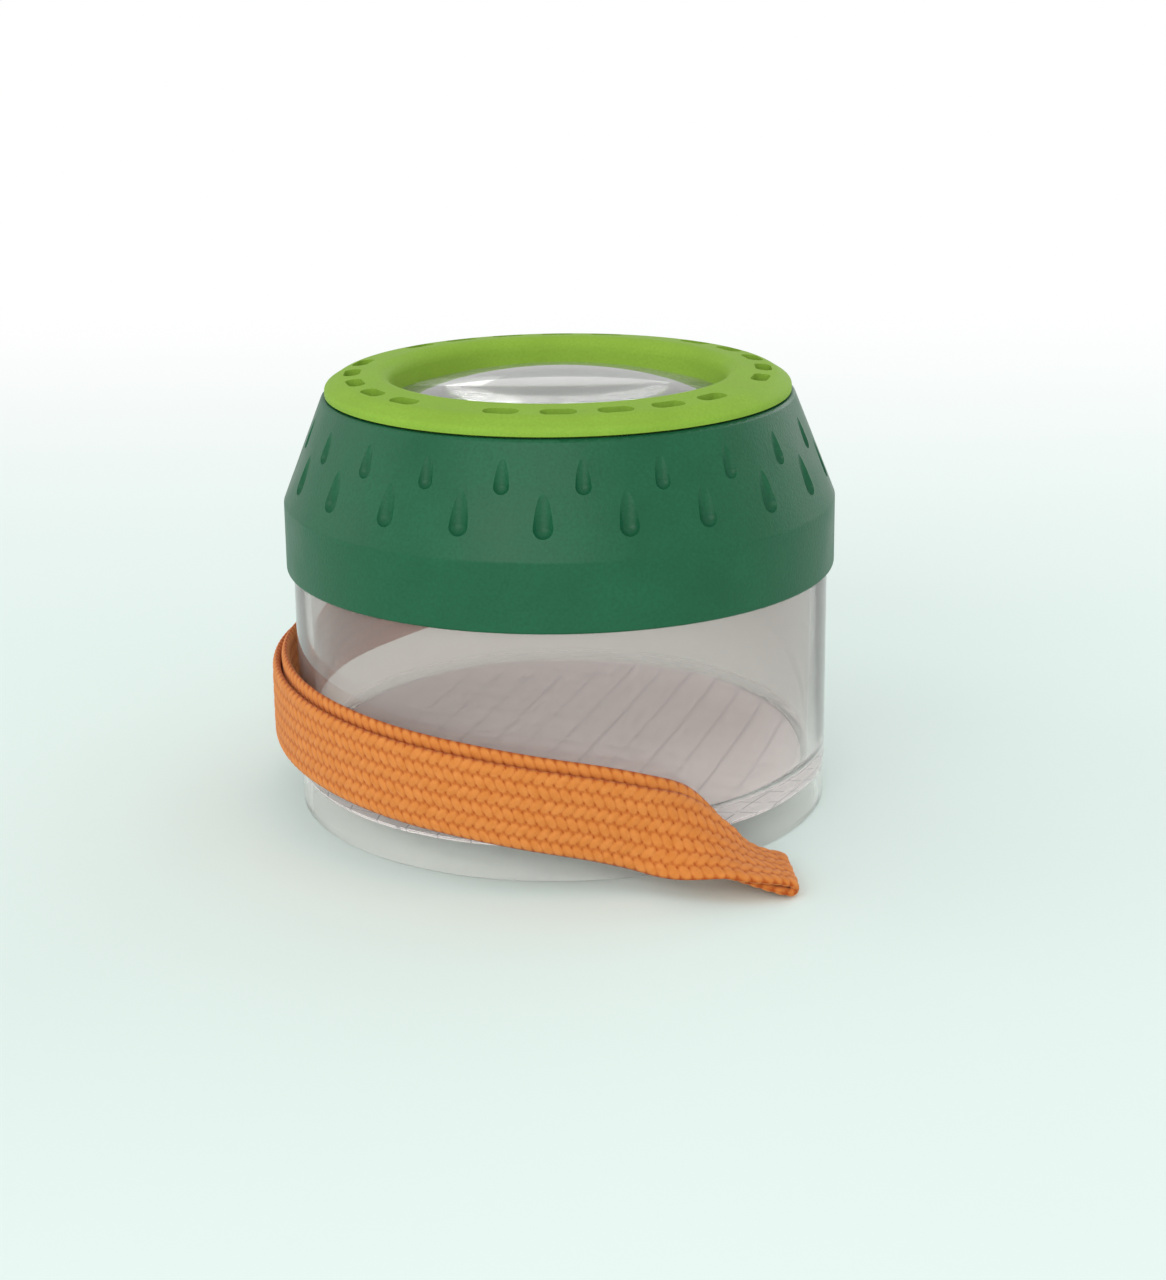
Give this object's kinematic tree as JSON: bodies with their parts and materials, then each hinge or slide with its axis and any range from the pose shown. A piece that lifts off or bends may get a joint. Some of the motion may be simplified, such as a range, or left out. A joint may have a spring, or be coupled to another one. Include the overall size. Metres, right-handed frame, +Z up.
{
  "type": "bug catcher jar",
  "caption": "Clear round jar for small insects, with a screw lid that holds a magnifying lens and air vents, a printed grid under its floor, and a braided wrist strap.",
  "frame": {"origin": "middle of the jar's foot ring, on the surface that it stands on", "axes": "+Z up along the jar's axis, -Y towards the front, +Y towards the strap lug on the lid"},
  "size_m": [0.0827, 0.1006, 0.0636],
  "materials": {
    "clear_jar": "clear, polished",
    "printed_disc": "white film with printed lines",
    "clear_lens": "clear, polished",
    "dark_green_plastic": "satin moulded",
    "lime_plastic": "satin moulded",
    "orange_braid": "flat braid"
  },
  "bodies": {
    "jar": {"jar": "clear_jar", "measuring_disc": "printed_disc"},
    "lens": {"lens": "clear_lens"},
    "lid": {"lid_shell": "dark_green_plastic", "vent_ring": "lime_plastic", "wrist_strap": "orange_braid"}
  },
  "joints": [
    {"name": "lid_lift", "type": "slide", "parent": "jar", "child": "lens", "axis": [0, 0, 1], "range_m": [0, 0.06]},
    {"name": "lid_turn", "type": "hinge", "parent": "lens", "child": "lid", "pos_m": [0, 0, 0.0582], "axis": [0, 0, 1], "range_deg": [0, 120]}
  ]
}
